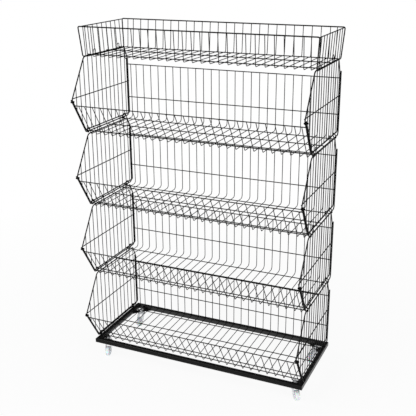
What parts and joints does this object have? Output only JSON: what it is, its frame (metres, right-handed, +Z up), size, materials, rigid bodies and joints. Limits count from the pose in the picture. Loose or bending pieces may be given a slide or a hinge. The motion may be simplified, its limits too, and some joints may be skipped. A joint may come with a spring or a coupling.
{
  "type": "display rack",
  "caption": "Mobile display rack of stacked black wire baskets with leaning front lips and open backs, topped by a shallow basket, on a square-tube base with swivel castors",
  "frame": {"origin": "on the floor under the middle of the rack", "axes": "X across the rack's width, front towards -Y, Z up"},
  "size_m": [1.016, 0.4708, 1.5077],
  "materials": {
    "wire_coat": "black powder coat",
    "base_coat": "black powder coat",
    "zinc_plate": "bright zinc plate",
    "wheel_hub": "pale moulded nylon",
    "wheel_tyre": "pale translucent plastic"
  },
  "bodies": {
    "base": {"base_front_rail": "base_coat", "base_back_rail": "base_coat", "base_left_rail": "base_coat", "base_right_rail": "base_coat", "corner_plates": "base_coat", "castor_stems": "zinc_plate", "swivel_cups": "zinc_plate", "stem_washers": "zinc_plate", "stem_nuts": "zinc_plate"},
    "basket_1": {"basket_1_end_wires": "wire_coat", "basket_1_back": "wire_coat", "basket_1_floor": "wire_coat", "basket_1_lip": "wire_coat", "basket_1_left_side": "wire_coat", "basket_1_right_side": "wire_coat", "basket_1_tie_rings": "wire_coat"},
    "basket_2": {"basket_2_end_wires": "wire_coat", "basket_2_back": "wire_coat", "basket_2_floor": "wire_coat", "basket_2_lip": "wire_coat", "basket_2_left_side": "wire_coat", "basket_2_right_side": "wire_coat", "basket_2_tie_rings": "wire_coat"},
    "basket_3": {"basket_3_end_wires": "wire_coat", "basket_3_back": "wire_coat", "basket_3_floor": "wire_coat", "basket_3_lip": "wire_coat", "basket_3_left_side": "wire_coat", "basket_3_right_side": "wire_coat", "basket_3_tie_rings": "wire_coat"},
    "basket_4": {"basket_4_end_wires": "wire_coat", "basket_4_back": "wire_coat", "basket_4_floor": "wire_coat", "basket_4_lip": "wire_coat", "basket_4_left_side": "wire_coat", "basket_4_right_side": "wire_coat", "basket_4_tie_rings": "wire_coat"},
    "top_basket": {"top_basket_floor": "wire_coat", "top_basket_front": "wire_coat", "top_basket_back": "wire_coat", "top_basket_left": "wire_coat", "top_basket_right": "wire_coat"},
    "front_left_fork": {"front_left_castor_fork": "zinc_plate", "front_left_castor_axle": "zinc_plate"},
    "front_left_wheel": {"front_left_castor_hub": "wheel_hub", "front_left_castor_tyre": "wheel_tyre"},
    "front_right_fork": {"front_right_castor_fork": "zinc_plate", "front_right_castor_axle": "zinc_plate"},
    "front_right_wheel": {"front_right_castor_hub": "wheel_hub", "front_right_castor_tyre": "wheel_tyre"},
    "back_left_fork": {"back_left_castor_fork": "zinc_plate", "back_left_castor_axle": "zinc_plate"},
    "back_left_wheel": {"back_left_castor_hub": "wheel_hub", "back_left_castor_tyre": "wheel_tyre"},
    "back_right_fork": {"back_right_castor_fork": "zinc_plate", "back_right_castor_axle": "zinc_plate"},
    "back_right_wheel": {"back_right_castor_hub": "wheel_hub", "back_right_castor_tyre": "wheel_tyre"}
  },
  "joints": [
    {"name": "basket_1_lift", "type": "slide", "parent": "base", "child": "basket_1", "axis": [0, 0, 1], "range_m": [0, 0.35]},
    {"name": "basket_2_lift", "type": "slide", "parent": "basket_1", "child": "basket_2", "axis": [0, 0, 1], "range_m": [0, 0.35]},
    {"name": "basket_3_lift", "type": "slide", "parent": "basket_2", "child": "basket_3", "axis": [0, 0, 1], "range_m": [0, 0.35]},
    {"name": "basket_4_lift", "type": "slide", "parent": "basket_3", "child": "basket_4", "axis": [0, 0, 1], "range_m": [0, 0.35]},
    {"name": "top_basket_lift", "type": "slide", "parent": "basket_4", "child": "top_basket", "axis": [0, 0, 1], "range_m": [0, 0.35]},
    {"name": "front_left_swivel", "type": "hinge", "parent": "base", "child": "front_left_fork", "pos_m": [-0.455, -0.11956, 0.05], "axis": [0, 0, 1], "continuous": true},
    {"name": "front_left_roll", "type": "hinge", "parent": "front_left_fork", "child": "front_left_wheel", "pos_m": [-0.45016, -0.13897, 0.022], "axis": [0.9703, 0.2419, 0], "continuous": true},
    {"name": "front_right_swivel", "type": "hinge", "parent": "base", "child": "front_right_fork", "pos_m": [0.455, -0.11956, 0.05], "axis": [0, 0, 1], "continuous": true},
    {"name": "front_right_roll", "type": "hinge", "parent": "front_right_fork", "child": "front_right_wheel", "pos_m": [0.46838, -0.13443, 0.022], "axis": [0.7431, 0.6691, 0], "continuous": true},
    {"name": "back_left_swivel", "type": "hinge", "parent": "base", "child": "back_left_fork", "pos_m": [-0.455, 0.19044, 0.05], "axis": [0, 0, 1], "continuous": true},
    {"name": "back_left_roll", "type": "hinge", "parent": "back_left_fork", "child": "back_left_wheel", "pos_m": [-0.455, 0.17044, 0.022], "axis": [1, 0, 0], "continuous": true},
    {"name": "back_right_swivel", "type": "hinge", "parent": "base", "child": "back_right_fork", "pos_m": [0.455, 0.19044, 0.05], "axis": [0, 0, 1], "continuous": true},
    {"name": "back_right_roll", "type": "hinge", "parent": "back_right_fork", "child": "back_right_wheel", "pos_m": [0.43768, 0.18044, 0.022], "axis": [0.5, -0.866, 0], "continuous": true}
  ]
}
